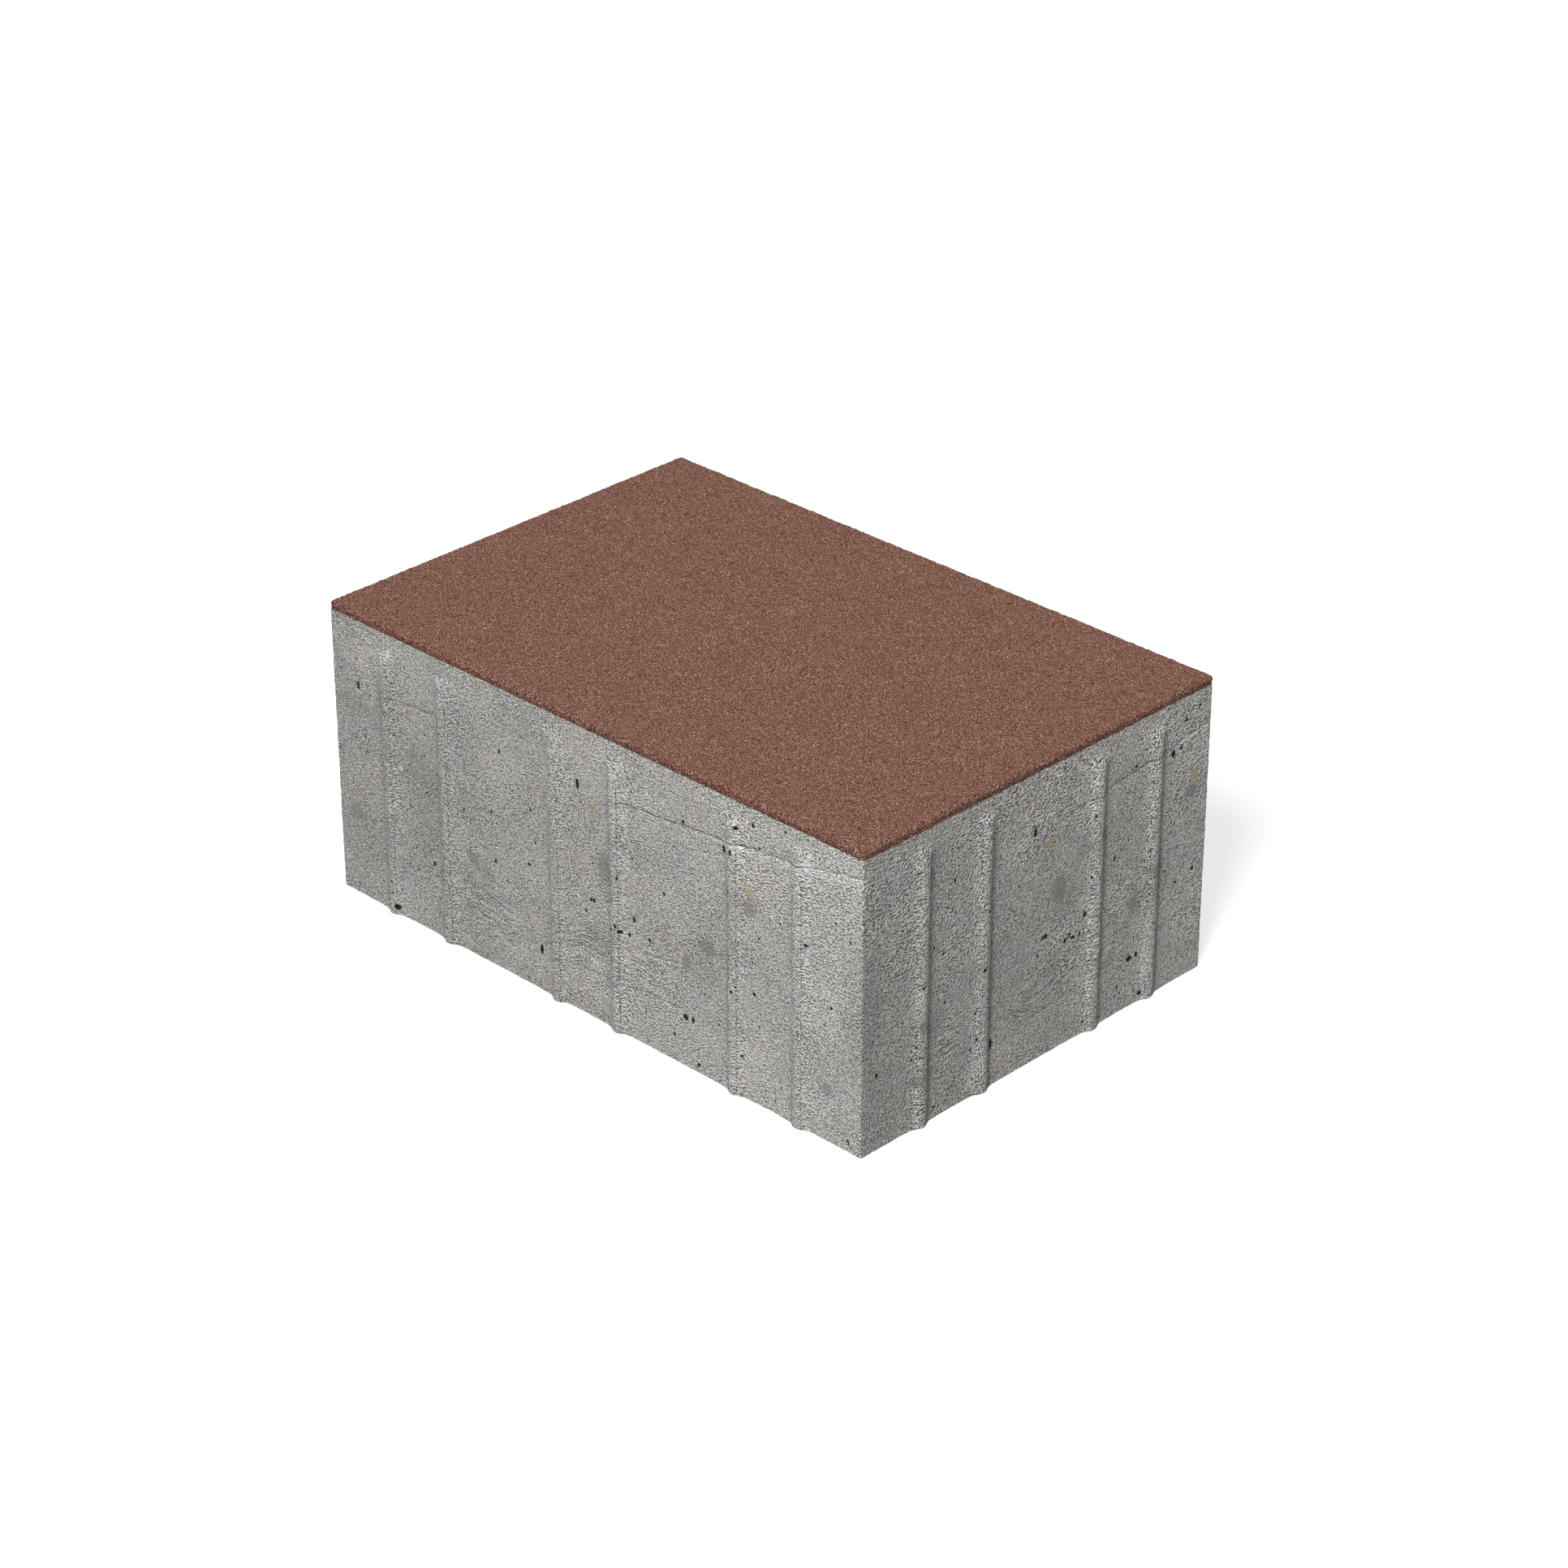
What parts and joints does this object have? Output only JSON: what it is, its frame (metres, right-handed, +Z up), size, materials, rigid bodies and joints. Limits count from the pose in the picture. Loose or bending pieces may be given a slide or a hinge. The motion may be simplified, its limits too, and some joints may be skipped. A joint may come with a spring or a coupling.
{
  "type": "concrete paving stone",
  "caption": "Rectangular concrete paving stone with a thin coloured wearing face and upright spacer ribs on its side walls, laid beside others on a bedding layer.",
  "frame": {"origin": "middle of the underside, on the bed", "axes": "+X along the length, +Y along the width, +Z up towards the wearing face"},
  "size_m": [0.1828, 0.1228, 0.08],
  "materials": {
    "core_concrete": "rough grey concrete with fine grain and small pores",
    "face_concrete": "rough red-brown face concrete with an even sandy grain"
  },
  "bodies": {
    "root": {"core_block": "core_concrete", "face_layer": "face_concrete"}
  },
  "joints": []
}
